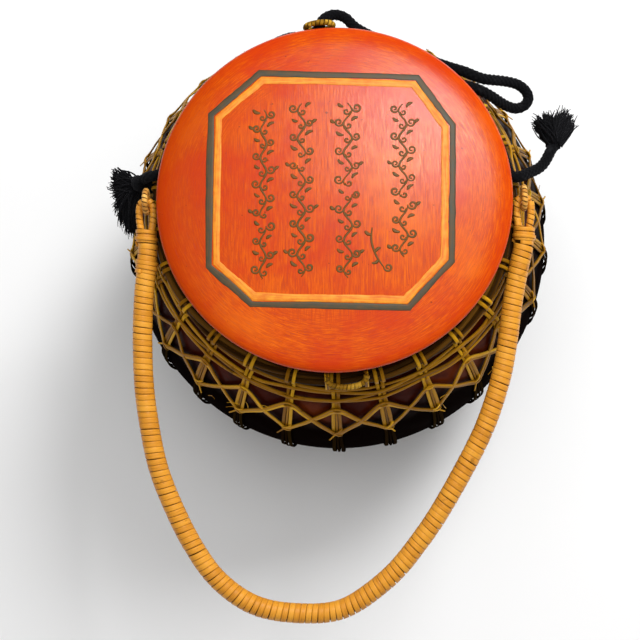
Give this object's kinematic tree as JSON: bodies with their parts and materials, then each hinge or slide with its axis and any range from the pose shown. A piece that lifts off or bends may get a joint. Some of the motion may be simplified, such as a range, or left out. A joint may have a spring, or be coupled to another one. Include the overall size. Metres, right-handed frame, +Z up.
{
  "type": "lidded bowl in cane carrier",
  "caption": "Round lacquered wooden bowl with a flat turned lid, held in an open cane net with a cane-bound swing handle and a cotton tie cord.",
  "frame": {"origin": "centre of the bowl's flat bottom", "axes": "+Z up through the lid, -Y towards the front where the handle rests, +X to the right"},
  "size_m": [0.3264, 0.4393, 0.28],
  "materials": {
    "orange_lacquer": "satin hand-brushed lacquer",
    "dark_lacquer": "gloss lacquer",
    "net_cane": "split cane, matt",
    "binding_cane": "split cane, satin",
    "hoop_rattan": "rattan rod, matt",
    "black_cotton": "braided cotton"
  },
  "bodies": {
    "carrier": {"bowl_shell": "dark_lacquer", "neck_hoop": "hoop_rattan", "foot_hoop": "hoop_rattan", "stake_01": "net_cane", "stake_02": "net_cane", "stake_03": "net_cane", "stake_04": "net_cane", "stake_05": "net_cane", "stake_06": "net_cane", "stake_07": "net_cane", "stake_08": "net_cane", "stake_09": "net_cane", "stake_10": "net_cane", "stake_11": "net_cane", "stake_12": "net_cane", "stake_13": "net_cane", "stake_14": "net_cane", "stake_15": "net_cane", "stake_16": "net_cane", "stake_17": "net_cane", "stake_18": "net_cane", "stake_19": "net_cane", "stake_20": "net_cane", "stake_21": "net_cane", "stake_22": "net_cane", "stake_23": "net_cane", "stake_24": "net_cane", "stake_25": "net_cane", "stake_26": "net_cane", "band_strand_1": "net_cane", "band_strand_2": "net_cane", "band_strand_3": "net_cane", "zigzag_inner": "net_cane", "zigzag_outer": "net_cane", "ring_loop_right": "binding_cane", "ring_loop_left": "binding_cane", "ring_loop_back": "binding_cane", "ring_loop_front": "binding_cane", "ring_lashing_right": "net_cane", "ring_lashing_left": "net_cane", "ring_lashing_back": "net_cane", "ring_lashing_front": "net_cane", "tie_cord": "black_cotton", "tie_cord_knot": "black_cotton", "frayed_end_left": "black_cotton", "frayed_end_right": "black_cotton"},
    "lid": {"lid_disc": "orange_lacquer", "lid_base": "dark_lacquer", "lid_spigot": "dark_lacquer"},
    "handle": {"handle_core": "hoop_rattan", "handle_binding": "binding_cane", "handle_eye_left": "binding_cane", "handle_eye_right": "binding_cane", "eye_lashing_left": "binding_cane", "eye_lashing_right": "binding_cane", "binding_band": "binding_cane"}
  },
  "joints": [
    {"name": "lid_lift", "type": "slide", "parent": "carrier", "child": "lid", "axis": [0, 0, 1], "range_m": [0, 0.15]},
    {"name": "handle_swing", "type": "hinge", "parent": "carrier", "child": "handle", "pos_m": [0, 0, 0.26251], "axis": [-1, 0, 0], "range_deg": [0, 160]}
  ]
}
